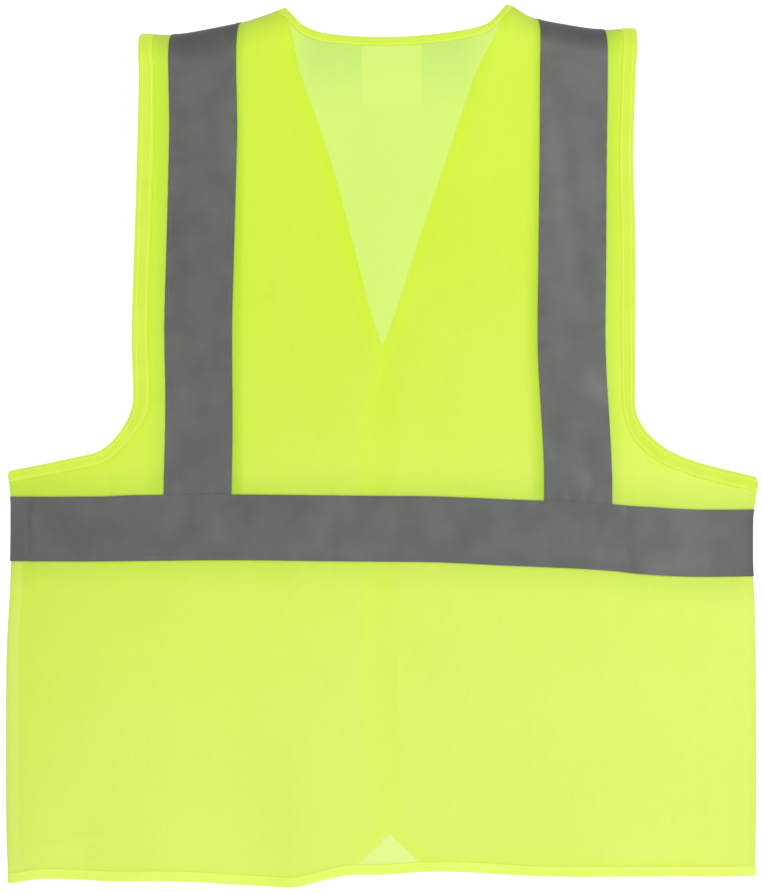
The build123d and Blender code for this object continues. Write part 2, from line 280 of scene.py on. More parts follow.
def place(flat, face, proud, lap=0.0):
    """Pattern points laid on the back or the front, proud of the cloth's outer face.

    lap lifts the swinging part of a front by that much, from its fold line inwards.
    """
    x, z = flat[:, 0], flat[:, 1]
    face = face * np.ones_like(x)
    side = np.where(x < 0, -1.0, 1.0)
    run = np.minimum(np.abs(x), SIDE_X)
    lift = lap * smooth((hinge_x(z) - np.abs(x)) / 0.045)
    out = proud + lift + wrinkle(x, z, face)
    taper = np.clip((run - FLAT_HALF) / TAPER_RADIUS, 0.0, TAPER_TURN)
    turn = taper + np.maximum(run - TAPER_END, 0.0) / FOLD_RADIUS
    level_x = np.minimum(run, FLAT_HALF) + TAPER_RADIUS * np.sin(taper)
    level_x = level_x + FOLD_RADIUS * (np.sin(turn) - np.sin(taper)) + out * np.sin(turn)
    level_y = TAPER_RADIUS * (1 - np.cos(taper)) - HALF_DEPTH
    level_y = level_y + FOLD_RADIUS * (np.cos(taper) - np.cos(turn)) - out * np.cos(turn)
    up = shoulder_up(run, z)
    round_up = np.clip(up, 0.0, RIDGE_UP)
    bend = round_up / HALF_DEPTH
    rise = (HALF_DEPTH + out) * np.sin(bend)
    over_x = run - round_up * math.sin(SHOULDER_SLOPE) + rise * math.sin(SHOULDER_SLOPE)
    over_z = z - round_up * math.cos(SHOULDER_SLOPE) + rise * math.cos(SHOULDER_SLOPE)
    over_y = -(HALF_DEPTH + out) * np.cos(bend)
    high = (up > 0) & (run < FLAT_HALF + 1 * MM)
    made_x = side * np.where(high, over_x, level_x)
    made_y = -face * np.where(high, over_y, level_y)
    made_z = np.where(high, over_z, z)
    laid_x, laid_z = lay(made_x, made_z, face)
    return np.stack([laid_x, made_y, laid_z], axis=1)


# ---- Lines of the pattern ------------------------------------------------------------------------
def unrolled(x, z):
    """The pattern point of a point seen square on, near or on a shoulder's round."""
    run = abs(x)
    up = shoulder_up(run, z)
    if up <= 0:
        return (x, z)
    longer = HALF_DEPTH * math.asin(min(1.0, up / HALF_DEPTH)) - up
    side = 1 if x > 0 else -1
    return (
        x + side * longer * math.sin(SHOULDER_SLOPE),
        z + longer * math.cos(SHOULDER_SLOPE),
    )


def arc(centre, radius, start, end, steps):
    angles = np.linspace(start, end, steps)
    return [(centre[0] + radius * math.cos(a), centre[1] + radius * math.sin(a)) for a in angles]


def neck_line():
    """The right half of the back neckline, from the middle to the neck point."""
    lean = math.asin(NECK_MID_HALF / NECK_MID_RADIUS)
    turn_z = NECK_MID_RADIUS * (1 - math.cos(lean)) - NECK_DROP
    run = NECK_HALF - NECK_MID_HALF
    radius = (run**2 + turn_z**2) / (2 * (-turn_z * math.cos(lean) - run * math.sin(lean)))
    centre = (NECK_MID_HALF - radius * math.sin(lean), turn_z + radius * math.cos(lean))
    end = math.atan2(-centre[1], NECK_HALF - centre[0])
    middle = (0.0, NECK_MID_RADIUS - NECK_DROP)
    line = arc(middle, NECK_MID_RADIUS, -math.pi / 2, lean - math.pi / 2, 14)
    line += arc(centre, radius, lean - math.pi / 2, end, 18)[1:]
    return [unrolled(x, z) for x, z in line[:-1]] + [ridge_point(NECK_END)]


def ridge_point(run):
    """The shoulder line's pattern point whose distance from the centre line is run."""
    z = (RIDGE_UP - (run - NECK_HALF) * math.sin(SHOULDER_SLOPE)) / math.cos(SHOULDER_SLOPE)
    return (run, z - HALF_DEPTH)


def armhole_line():
    """The right armhole's edge, from the shoulder line down to the side fold."""
    slope = math.atan2(UNDERARM_RISE, HALF_WIDTH - ARM_HALF)
    corner_z = UNDERARM_Z + UNDERARM_RISE
    reach = UNDERARM_RADIUS * math.tan((math.pi / 2 - slope) / 2)
    centre = (ARM_HALF + UNDERARM_RADIUS, corner_z + reach)
    line = [ridge_point(SHOULDER_HALF + 2.5 * MM), (SHOULDER_HALF, -50 * MM)]
    line += arc(centre, UNDERARM_RADIUS, math.pi, 1.5 * math.pi - slope, 16)
    return line + [(SIDE_X, UNDERARM_Z)]


def front_edge_line():
    """The right front's free edge, from the neck point down to the hem."""
    turn_z = -(NECK_HALF + OVERLAP_HALF) / V_SLOPE
    line = [ridge_point(NECK_END), unrolled(NECK_HALF - 1 * MM, -5 * MM)]
    line += [unrolled(NECK_HALF + V_SLOPE * z, z) for z in (-12 * MM, -24 * MM)]
    above = (-OVERLAP_HALF + 10 * MM * V_SLOPE, turn_z + 10 * MM)
    line += curve(above, (-OVERLAP_HALF, turn_z), (-OVERLAP_HALF, turn_z - 10 * MM))
    cut = (-OVERLAP_HALF, HEM_Z + CORNER_CUT_TOP)
    cut_end = (CORNER_CUT_OUT, HEM_Z)
    half = ((cut[0] + cut_end[0]) / 2, (cut[1] + cut_end[1]) / 2)
    line += curve((cut[0], cut[1] + 6 * MM), cut, toward(cut, half, 6 * MM))
    line += curve(toward(cut_end, half, 6 * MM), cut_end, (cut_end[0] + 6 * MM, HEM_Z))
    return line


def curve(start, corner, end):
    """A rounded corner of seven points."""
    line = []
    for t in np.linspace(0.0, 1.0, 7):
        a, b, c = (1 - t) ** 2, 2 * t * (1 - t), t * t
        line.append(tuple(a * s + b * m + c * e for s, m, e in zip(start, corner, end)))
    return line


def toward(start, end, distance):
    share = distance / math.dist(start, end)
    return (start[0] + share * (end[0] - start[0]), start[1] + share * (end[1] - start[1]))


def evenly(line, step, closed=False):
    """The line with its long stretches divided into equal steps."""
    made = []
    ends = line[1:] + line[:1] if closed else line[1:]
    for start, end in zip(line, ends):
        parts = max(1, round(math.dist(start, end) / step))
        for i in range(parts):
            t = i / parts
            made.append((start[0] + t * (end[0] - start[0]), start[1] + t * (end[1] - start[1])))
    return made if closed else made + [line[-1]]


def on_side(line, side):
    """A line of the right side, mirrored when side is -1."""
    return [(side * x, z) for x, z in line]


# ---- Meshes --------------------------------------------------------------------------------------
UV_UNIT = 10 * MM      # one unit of a piece's map is 10 mm of cloth
SHARP_ANGLE = math.radians(62)


def scene_object(name, data):
    made = bpy.data.objects.new(name, data)
    bpy.context.scene.collection.objects.link(made)
    return made


def mesh_piece(name, points, faces, uvs, material):
    """A smooth-shaded mesh whose map holds the pattern's own centimetres."""
    mesh = bpy.data.meshes.new(name)
    mesh.from_pydata(points.tolist(), [], faces)
    layer = mesh.uv_layers.new(name="pattern")
    corners = np.zeros(len(mesh.loops), dtype=np.int32)
    mesh.loops.foreach_get("vertex_index", corners)
    layer.data.foreach_set("uv", (uvs[corners] / UV_UNIT).astype(np.float32).ravel())
    mesh.polygons.foreach_set("use_smooth", [True] * len(mesh.polygons))
    mesh.materials.append(material)
    mesh.validate()
    mesh.set_sharp_from_angle(angle=SHARP_ANGLE)
    return scene_object(name, mesh)


def inside(points, outline):
    """Which points lie inside a closed outline."""
    odd = np.zeros(len(points), dtype=bool)
    x, z = points[:, 0], points[:, 1]
    for (ax, az), (bx, bz) in zip(outline, outline[1:] + outline[:1]):
        if az == bz:
            continue
        crosses = (az > z) != (bz > z)
        odd ^= crosses & (x < (bx - ax) * (z - az) / (bz - az) + ax)
    return odd


def far_from(points, outline, gap):
    """Which points are more than gap from every point of an evenly divided outline."""
    free = np.ones(len(points), dtype=bool)
    for ax, az in outline:
        free &= (points[:, 0] - ax) ** 2 + (points[:, 1] - az) ** 2 > gap * gap
    return free


def column_x(column, zs):
    """Where a column, given by its x at FLAP_TOP_Z and at HEM_Z, is at other heights."""
    share = (FLAP_TOP_Z - zs) / (FLAP_TOP_Z - HEM_Z)
    return column[0] + share * (column[1] - column[0])


def cloth_net(outline, spacing, columns):
    """Triangles that fill an outline: its own points, staggered rows inside it, and close
    columns where the cloth turns quickly."""
    edge = np.array(outline)
    low, high = edge.min(axis=0), edge.max(axis=0)
    row_step = spacing * math.sqrt(3) / 2
    rows = []
    for i, z in enumerate(np.arange(low[1], high[1], row_step)):
        start = low[0] + (spacing / 2 if i % 2 else 0.0)
        xs = np.arange(start, high[0], spacing)
        rows.append(np.stack([xs, np.full_like(xs, z)], axis=1))
    grid = np.concatenate(rows)
    for column in columns:
        grid = grid[np.abs(grid[:, 0] - column_x(column, grid[:, 1])) > spacing * 0.5]
    for column in columns:
        zs = np.arange(low[1] + 2 * MM, high[1], spacing)
        grid = np.concatenate([grid, np.stack([column_x(column, zs), zs], axis=1)])
    grid = grid[inside(grid, outline)]
    gap = 1.1 * MM if columns else spacing * 0.6
    grid = grid[far_from(grid, outline, gap)]
    points = [tuple(p) for p in np.concatenate([edge, grid]).tolist()]
    loop = list(range(len(outline)))
    made = delaunay_2d_cdt(points, [], [loop], 1, 1e-7)
    net = np.array([(v[0], v[1]) for v in made[0]])
    faces = [tuple(f) for f in made[2]]
    a, b, c = (net[[f[i] for f in faces]] for i in range(3))
    area = (b[:, 0] - a[:, 0]) * (c[:, 1] - a[:, 1]) - (b[:, 1] - a[:, 1]) * (c[:, 0] - a[:, 0])
    faces = [f if s > 0 else f[::-1] for f, s in zip(faces, area)]
    return net, faces


def open_edges(faces):
    """The directed edges that only one face uses."""
    edges = {}
    for f in faces:
        for a, b in zip(f, f[1:] + f[:1]):
            edges[(a, b)] = True
    return [e for e in edges if (e[1], e[0]) not in edges]


def closed_faces(top, count):
    """A sheet's faces: its top's, its underside's and its edges'. The underside's points follow
    the count points of the top, in the same order."""
    walls = [(b, a, a + count, b + count) for a, b in open_edges(top)]
    under = [tuple(i + count for i in f[::-1]) for f in top]
    return top + under + walls


def cut_piece(name, outline, face, layers, material, spacing=4 * MM, lap=0.0, columns=()):
    """A closed sheet cut to an outline, between two distances from the cloth's outer face."""
    net, top = cloth_net(outline, spacing, columns)
    inner, outer = layers
    points = np.concatenate([place(net, face, outer, lap), place(net, face, inner, lap)])
    every = closed_faces(top, len(net))
    if face == FRONT:
        every = [f[::-1] for f in every]
    return mesh_piece(name, points, every, np.concatenate([net, net]), material)


class Path:
    """A line over the vest: which face each point is on, its pattern point, and which way the
    cloth lies from it when it runs along an edge."""

    def __init__(self, faces, points, inward, closed=False):
        self.faces = np.array(faces)
        self.points = np.array(points)
        self.inward = np.array(inward)
        self.closed = closed


def inward_of(line, cloth_side):
    """Unit vectors square to the line, on its left (1) or on its right (-1)."""
    points = np.array(line)
    ahead = np.gradient(points, axis=0)
    ahead /= np.linalg.norm(ahead, axis=1)[:, None]
    return cloth_side * np.stack([-ahead[:, 1], ahead[:, 0]], axis=1)


def edge_path(line, face, cloth_side, first=None, last=None):
    """A path along an edge. first and last set its end directions."""
    inward = inward_of(line, cloth_side)
    if first is not None:
        inward[0] = first
    if last is not None:
        inward[-1] = last
    return Path([face] * len(line), line, inward)


def round_trip(path):
    """The path on the back, then back again along the front, as one closed loop."""
    faces = np.concatenate([path.faces, -path.faces[::-1][1:-1]])
    points = np.concatenate([path.points, path.points[::-1][1:-1]])
    inward = np.concatenate([path.inward, path.inward[::-1][1:-1]])
    return Path(faces, points, inward, closed=True)


def along(path):
    """Distance along the path at each of its points."""
    steps = np.linalg.norm(np.diff(path.points, axis=0), axis=1)
    return np.concatenate([[0.0], np.cumsum(steps)])


def swept_piece(name, path, section, material, lap=0.0):
    """A closed strip with the same section, of (inset, proud) points, all along a path."""
    rings = []
    for inset, proud in section:
        rings.append(place(path.points + path.inward * inset, path.faces, proud, lap))
    points = np.stack(rings, axis=1)
    count, size = points.shape[:2]
    reach = np.cumsum([0.0] + [math.dist(a, b) for a, b in zip(section, section[1:])])
    uvs = np.zeros((count, size, 2))
    uvs[:, :, 0] = along(path)[:, None]
    uvs[:, :, 1] = reach[None, :]
    faces = []
    for i in range(count if path.closed else count - 1):
        j = (i + 1) % count
        for k in range(size):
            m = (k + 1) % size
            faces.append((i * size + k, i * size + m, j * size + m, j * size + k))
    if not path.closed:
        faces.append(tuple(range(size - 1, -1, -1)))
        faces.append(tuple((count - 1) * size + k for k in range(size)))
    piece = mesh_piece(name, points.reshape(-1, 3), faces, uvs.reshape(-1, 2), material)
    outward(piece)
    return piece


def outward(piece):
    """Turns a closed mesh's faces outwards."""
    mesh = piece.data
    mesh.calc_loop_triangles()
    tris = np.array([t.vertices[:] for t in mesh.loop_triangles])
    co = np.array([v.co[:] for v in mesh.vertices])
    a, b, c = co[tris[:, 0]], co[tris[:, 1]], co[tris[:, 2]]
    if np.einsum("ij,ij->i", a, np.cross(b, c)).sum() < 0:
        mesh.flip_normals()


def fold_section(width, thick):
    """A strip folded over an edge: its section as (inset, proud) points, over the outer face,
    round the edge, over the inner face, and back along the cloth that it holds."""
    outer = [
        (width, 0.02 * MM),
        (width, thick * 0.75),
        (width * 0.72, thick),
        (width * 0.30, thick * 1.15),
        (0.2 * MM, thick * 1.1),
        (-0.5 * MM, thick * 0.45),
    ]
    inner = [(inset, -CLOTH - proud) for inset, proud in outer[::-1]]
    held = [(0.6 * MM, -CLOTH - 0.02 * MM), (0.2 * MM, -CLOTH / 2), (0.6 * MM, 0.02 * MM)]
    return outer + [(-0.7 * MM, -CLOTH / 2)] + inner + held


def at(path, distances):
    """The path's faces and pattern points at distances along it."""
    reach = along(path)
    xs = np.interp(distances, reach, path.points[:, 0])
    zs = np.interp(distances, reach, path.points[:, 1])
    faces = np.sign(np.interp(distances, reach, path.faces))
    return np.where(faces == 0, 1.0, faces), np.stack([xs, zs], axis=1)


def stitch_points(path, inset, proud, length, pitch, lap):
    """Rings of four points at the start, top and end of every stitch in a row."""
    row = Path(path.faces, path.points + path.inward * inset, path.inward)
    total = along(row)[-1]
    starts = np.arange(pitch / 2, total - pitch, pitch)
    thread = 0.17 * MM
    rings = []
    centres = []
    for share, lift in ((0.0, 0.0), (0.25, 0.16 * MM), (0.75, 0.16 * MM), (1.0, 0.0)):
        faces, flat = at(row, starts + share * length)
        centre = place(flat, faces, proud + lift, lap)
        raised = place(flat, faces, proud + lift + 1 * MM, lap)
        centres.append((centre, raised - centre))
    ahead = centres[-1][0] - centres[0][0]
    ahead /= np.linalg.norm(ahead, axis=1)[:, None]
    for number, (centre, up) in enumerate(centres):
        up = up / np.linalg.norm(up, axis=1)[:, None]
        across = np.cross(ahead, up)
        wide = thread * (0.45 if number in (0, 3) else 1.0)
        rings += [centre + across * wide, centre + up * wide]
        rings += [centre - across * wide, centre - up * wide * 0.5]
    return np.stack(rings, axis=1)


ROD_RINGS = 4
ROD_SIDES = 4


def rod_piece(name, rods, material):
    """Many small closed rods in one piece, from each rod's rings of points."""
    size = ROD_RINGS * ROD_SIDES
    pattern = []
    for low in range(0, size - ROD_SIDES, ROD_SIDES):
        high = low + ROD_SIDES
        for k in range(ROD_SIDES):
            m = (k + 1) % ROD_SIDES
            pattern.append((low + k, high + k, high + m, low + m))
    pattern.append(tuple(range(ROD_SIDES)))
    pattern.append(tuple(size - 1 - k for k in range(ROD_SIDES)))
    faces = []
    for first in range(0, len(rods) * size, size):
        faces += [tuple(first + v for v in f) for f in pattern]
    points = rods.reshape(-1, 3)
    piece = mesh_piece(name, points, faces, points[:, [0, 2]], material)
    outward(piece)
    return piece


def thread_piece(name, rows, material):
    """Sewn rows as separate raised stitches. A row is (path, inset, proud, length, pitch, lap)."""
    return rod_piece(name, np.concatenate([stitch_points(*row) for row in rows]), material)


# ---- Materials -----------------------------------------------------------------------------------
def node(tree, kind, inputs=None, **settings):
    """A new node with its settings, and inputs given by name or number as numbers, colours,
    sockets or Values."""
    made = tree.nodes.new(kind)
    for key, value in settings.items():
        setattr(made, key, value)
    for key, value in (inputs or {}).items():
        value = value.socket if isinstance(value, Value) else value
        if isinstance(value, bpy.types.NodeSocket):
            tree.links.new(value, made.inputs[key])
        else:
            made.inputs[key].default_value = value
    return made


class Value:
    """A node's output that is written in sums like a number. Every operation is a Math node."""

    def __init__(self, socket):
        self.socket = socket
        self.tree = socket.id_data

    def __add__(self, other):
        return maths("ADD", self, other)

    def __sub__(self, other):
        return maths("SUBTRACT", self, other)

    def __rsub__(self, other):
        return maths("SUBTRACT", other, self)

    def __mul__(self, other):
        return maths("MULTIPLY", self, other)

    def __abs__(self):
        return maths("ABSOLUTE", self)


def maths(operation, *values):
    """A Math node over numbers and at least one Value."""
    tree = next(value.tree for value in values if isinstance(value, Value))
    made = node(tree, "ShaderNodeMath", dict(enumerate(values)), operation=operation)
    return Value(made.outputs[0])


def shader(tree, kind, inputs):
    return node(tree, f"ShaderNode{kind}", inputs).outputs[0]


def blended(tree, factor, a, b):
    made = node(tree, "ShaderNodeMix", {0: factor, 6: a, 7: b}, data_type="RGBA")
    return made.outputs[2]


def bumped(tree, strength, distance, height):
    inputs = {"Strength": strength, "Distance": distance, "Height": height}
    return node(tree, "ShaderNodeBump", inputs).outputs[0]


def backlit(tree, body, colour, bump, glow):
    """A surface with the share glow of it lit from behind."""
    lit = shader(tree, "BsdfTranslucent", {"Color": colour, "Normal": bump})
    return shader(tree, "MixShader", {0: glow, 1: body, 2: lit})


def new_material(name):
    material = bpy.data.materials.new(name)
    material.use_nodes = True
    material.node_tree.nodes.clear()
    return material, material.node_tree


def shown(material, surface):
    """The material, with this shader as its surface."""
    node(material.node_tree, "ShaderNodeOutputMaterial", {0: surface})
    return material


def pattern_map(tree, scale=(1.0, 1.0, 1.0)):
    """The piece's own map, in centimetres, scaled."""
    uv = node(tree, "ShaderNodeUVMap", uv_map="pattern")
    return node(tree, "ShaderNodeMapping", {0: uv.outputs[0], 3: scale}).outputs[0]


def noise_at(tree, vector, scale, detail=3.0, rough=0.5):
    inputs = {"Vector": vector, "Scale": scale, "Detail": detail, "Roughness": rough}
    return Value(node(tree, "ShaderNodeTexNoise", inputs).outputs[0])


def stretched_noise(tree, scale, detail, rough=0.5):
    """Noise over the piece's map, finer along x and along z by the two scales."""
    return noise_at(tree, pattern_map(tree, (*scale, 1.0)), 1.0, detail, rough)


WAVE_PERIOD = 0.3142      # a wave texture's period at a scale of 1


def ribs(tree, vector, direction, pitch, distortion):
    """Parallel ribs, pitch in centimetres."""
    inputs = {
        "Vector": vector,
        "Scale": WAVE_PERIOD / pitch,
        "Distortion": distortion,
        "Detail": 1.0,
        "Detail Scale": 0.6,
    }
    settings = {"wave_type": "BANDS", "bands_direction": direction, "wave_profile": "SIN"}
    return Value(node(tree, "ShaderNodeTexWave", inputs, **settings).outputs["Fac"])


def soft_step(value, start, end):
    """0 at start and before, 1 at end and beyond."""
    inputs = {0: value, 1: start, 2: end}
    made = node(value.tree, "ShaderNodeMapRange", inputs, interpolation_type="SMOOTHSTEP")
    return Value(made.outputs[0])


# The next four are laid out over the pattern: across from the centre line, and height, in
# centimetres.
def tape_shade(across, height):
    """Painted shade: the cloth greener beside the brace tapes and along the waist tape."""
    out = abs(across)
    inner = soft_step(out, 10.5, 11.8) * 0.55
    outer = soft_step(out, 18.2, 16.6) * 0.35
    beyond = maths("GREATER_THAN", out, 14.0)
    side = Value(node(out.tree, "ShaderNodeMix", {0: beyond, 2: inner, 3: outer}).outputs[0])
    above = soft_step(height, -39.0, -36.0)
    under = soft_step(height, -44.6, -42.0) * 0.24
    return side * above + under * soft_step(height, -34.6, -37.4)


def side_light_and_shade(across, height):
    """Painted light on the side folds under the waist tape, painted shade beside the left one."""
    over = soft_step(abs(across), 27.25, 27.50) * soft_step(height, -39.0, -41.0)
    beside = soft_step(across, -21.0, -26.8) * (1.0 - over)
    return maths("MULTIPLY_ADD", over, 0.42, beside * -0.05)


# The knit is made paler where this is 1: painted light from the white label showing through.
def over_label(across, height):
    """1 over the white label behind the cloth, 0 elsewhere."""
    return soft_step(abs(across - 0.3), 2.32, 2.18) * soft_step(height, -7.47, -7.33)


def neck_shade(across, height, label):
    """Painted shade: the cloth greener just under the neck binding, less so over the label."""
    near = soft_step(height, -8.5, -2.0) * 0.38
    return near * soft_step(abs(across), 8.0, 5.0) * (1.0 - label * 0.70)


# The dye is fluorescent. The emission below stands in for that and is painted light: a little
# glow over the knit and hem, which also flattens their shading, and a strong glow over the
# bindings, whose own colours are dark, so that they show brighter through the cloth.
CLOTH_PAINTED_GLOW = 0.10
BAND_PAINTED_GLOW = 2.20
CLOTH_DEEP = (0.598, 0.818, 0.000, 1)
CLOTH_PALE = (0.733, 0.872, 0.120, 1)
# The colour of the painted shade beside the tapes and under the neck binding:
CLOTH_SHADE = (0.340, 0.600, 0.020, 1)
BAND_DEEP = (0.190, 0.255, 0.008, 1)
BAND_PALE = (0.220, 0.285, 0.025, 1)
OPENING_TINT = (0.52, 0.58, 0.94, 1)     # of what is seen through the knit's openings
WALE = 0.085                             # pitches of the knit's columns and courses and of the
COURSE = 0.13                            # tape's weave, in centimetres
TAPE_WEAVE = 0.055


def knit(name, deep, pale, through, glow):
    """Fine warp knit with painted light and shade laid over it, and a painted sheen that pales it
    towards the hem. through is what one face lets past unscattered, and glow how much of the
    rest comes through as soft light."""
    material, tree = new_material(name)
    uv = pattern_map(tree)
    parts = node(tree, "ShaderNodeSeparateXYZ", {0: uv})
    across, height = Value(parts.outputs[0]), Value(parts.outputs[1])
    # Painted sheen: paler towards the hem and the lower right.
    low = soft_step(height - across * 0.40, -16.0, -60.0)
    label = over_label(across, height)
    # Painted shade beside the tapes and under the neck binding, in CLOTH_SHADE.
    shade = neck_shade(across, height, label) + tape_shade(across, height)
    streaks = stretched_noise(tree, (5.0, 0.22), 4.0, 0.6)
    clouds = stretched_noise(tree, (0.16, 0.10), 2.0)
    bars = stretched_noise(tree, (0.05, 6.0), 3.0, 0.65)
    wales = ribs(tree, uv, "X", WALE, 0.6)
    courses = ribs(tree, uv, "Y", COURSE, 0.9)
    loops = wales * maths("MULTIPLY_ADD", courses, 0.4, 0.8)
    tone = streaks * 0.16 + clouds * 0.25 + bars * 0.08 + loops * 0.04 + low * 0.65
    # Painted light and shade at the sides, and painted light over the label behind the cloth.
    tone = tone + side_light_and_shade(across, height) + label * 0.26
    colour = blended(tree, shade, blended(tree, tone, deep, pale), CLOTH_SHADE)
    bump = bumped(tree, 0.18, 0.05 * MM, loops)
    finish = {
        "Base Color": colour,
        "Roughness": 0.7,
        "Normal": bump,
        "Sheen Weight": 0.15,
        "Specular IOR Level": 0.3,
        "Emission Color": colour,
        "Emission Strength": CLOTH_PAINTED_GLOW,
    }
    body = shader(tree, "BsdfPrincipled", finish)
    soft = backlit(tree, body, colour, bump, glow)
    clear = shader(tree, "BsdfTransparent", {"Color": OPENING_TINT})
    opening = loops * (-0.16 * through) + 1.08 * through
    return shown(material, shader(tree, "MixShader", {0: opening, 1: soft, 2: clear}))


def reflective(name):
    """Grey glass-bead tape: fine sparkle, a faint woven line and slight rubbing."""
    material, tree = new_material(name)
    uv = pattern_map(tree)
    beads = noise_at(tree, uv, 34.0, 2.0, 0.7)
    weave = ribs(tree, uv, "Y", TAPE_WEAVE, 0.5)
    warp = ribs(tree, uv, "X", TAPE_WEAVE, 0.5)
    rubbed = stretched_noise(tree, (0.35, 0.35), 4.0, 0.55)
    tone = beads * 0.35 + weave * 0.10 + rubbed * 0.55
    finish = {
        "Base Color": blended(tree, tone, (0.045, 0.049, 0.045, 1), (0.145, 0.151, 0.145, 1)),
        "Roughness": rubbed * 0.12 + 0.44,
        "Metallic": 0.55,
        "Normal": bumped(tree, 0.35, 0.03 * MM, weave * warp + beads),
        "Specular IOR Level": 0.4,
    }
    return shown(material, shader(tree, "BsdfPrincipled", finish))


def woven(name, deep, pale, pitch, rough, glow=0.0, painted_glow=0.0):
    """Woven ribbon: twill lines across it, and soft changes of tone along it. glow is how much
    of the light that falls behind it comes through, and the last argument how strongly it
    glows, as painted light."""
    material, tree = new_material(name)
    uv = pattern_map(tree)
    twill = ribs(tree, uv, "DIAGONAL", pitch, 0.4)
    cross = ribs(tree, uv, "X", pitch * 0.8, 0.3)
    clouds = stretched_noise(tree, (0.5, 0.5), 3.0)
    weave = twill * (cross + 0.6)
    colour = blended(tree, (weave * 0.25 + clouds) * 0.75, deep, pale)
    bump = bumped(tree, 0.4, 0.06 * MM, weave)
    finish = {
        "Base Color": colour,
        "Roughness": rough,
        "Normal": bump,
        "Sheen Weight": 0.1,
        "Emission Color": colour,
        "Emission Strength": painted_glow,
    }
    body = shader(tree, "BsdfPrincipled", finish)
    return shown(material, backlit(tree, body, colour, bump, glow))


def thread(name, deep, pale):
    """Twisted sewing thread."""
    material, tree = new_material(name)
    twist = ribs(tree, pattern_map(tree), "DIAGONAL", 0.03, 0.2)
    finish = {"Base Color": blended(tree, twist, deep, pale), "Roughness": 0.55}
    return shown(material, shader(tree, "BsdfPrincipled", finish))


cloth = knit("fluorescent_knit", CLOTH_DEEP, CLOTH_PALE, 0.385, 0.03)
# The seam allowances are this knit made paler, as painted light along the seams.
allowance = knit("seam_knit", (0.70, 0.82, 0.10, 1), (0.78, 0.86, 0.30, 1), 0.25, 0.10)
# The bindings glow as painted light, so they show brighter through the cloth.
binding = woven("edge_binding", BAND_DEEP, BAND_PALE, 0.11, 0.7, 0.15, BAND_PAINTED_GLOW)
hem_cloth = woven(
    "hem_knit", (0.56, 0.70, 0.06, 1), (0.64, 0.77, 0.16, 1), 0.10, 0.78, 0.15, CLOTH_PAINTED_GLOW
)
tape = reflective("reflective_tape")
# The label glows as painted light, so it shows brighter through the cloth.
label_ribbon = woven(
    "label_ribbon", (0.84, 0.86, 0.96, 1), (0.90, 0.92, 1.00, 1), 0.06, 0.5, 0.60, 0.60
)
hook_base = woven("hook_tape", (0.58, 0.78, 0.03, 1), (0.70, 0.88, 0.06, 1), 0.12, 0.6)
loop_base = woven("loop_tape", (0.60, 0.80, 0.04, 1), (0.72, 0.89, 0.08, 1), 0.16, 0.9)
tape_thread = thread("tape_thread", (0.10, 0.11, 0.10, 1), (0.16, 0.17, 0.16, 1))
cloth_thread = thread("cloth_thread", (0.68, 0.86, 0.05, 1), (0.80, 0.94, 0.20, 1))


# ---- Panels --------------------------------------------------------------------------------------
neck = neck_line()
armhole = armhole_line()
front_edge = front_edge_line()


def back_outline():
    right = neck + armhole + [(SIDE_X, HEM_Z)]
    outline = on_side(right, -1)[::-1] + right[1:]
    return evenly(outline[::-1], 4 * MM, closed=True)


def front_outline(side):
    right = armhole + [(SIDE_X, HEM_Z)] + front_edge[::-1]
    outline = evenly(right[::-1], 4 * MM, closed=True)
    return outline if side > 0 else on_side(outline, -1)[::-1]


BEND_WIDTH = 28 * MM


def bend_open(piece, side):
    """Works out a band where a front swings open, square to its fold line and towards the middle
    of the vest, and bakes the piece's placing into its points; the piece is not bent."""
    run = HINGE_LOW_X - HINGE_TOP_X
    drop = FLAP_TOP_Z - HEM_Z
    length = math.hypot(run, drop)
    across = (-side * drop / length, -run / length)
    start = (side * HINGE_TOP_X, HALF_DEPTH, FLAP_TOP_Z)
    end = (start[0] + BEND_WIDTH * across[0], start[1], start[2] + BEND_WIDTH * across[1])
    "right_front" if side > 0 else "left_front"
    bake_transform(piece)


SIDES = (("right", 1, 0.0), ("left", -1, LAP))
BEND_STEP = 1.4 * MM
side_columns = [(SIDE_X - inset, SIDE_X - inset) for inset in (1.4 * MM, 3.2 * MM, 6 * MM)]
bend_columns = [
    (HINGE_TOP_X - inset, HINGE_LOW_X - inset)
    for inset in np.arange(-BEND_STEP, BEND_WIDTH + BEND_STEP, BEND_STEP)
]


def columns_on(side, columns):
    return [(side * top, side * low) for top, low in columns]


back_cloth = cut_piece(
    "back_cloth",
    back_outline(),
    BACK,
    (-CLOTH, 0.0),
    cloth,
    columns=columns_on(-1, side_columns) + side_columns,
)
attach(back_cloth, "vest_body")
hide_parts("back_panel")

front_cloth = {}
for name, side, lap in SIDES:
    piece = cut_piece(
        f"{name}_front_cloth",
        front_outline(side),
        FRONT,
        (-CLOTH, 0.0),
        cloth,
        lap=lap,
        columns=columns_on(side, side_columns + bend_columns),
    )
    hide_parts(f"{name}_front_side_panel", f"{name}_front_flap")
    front_cloth[name] = piece


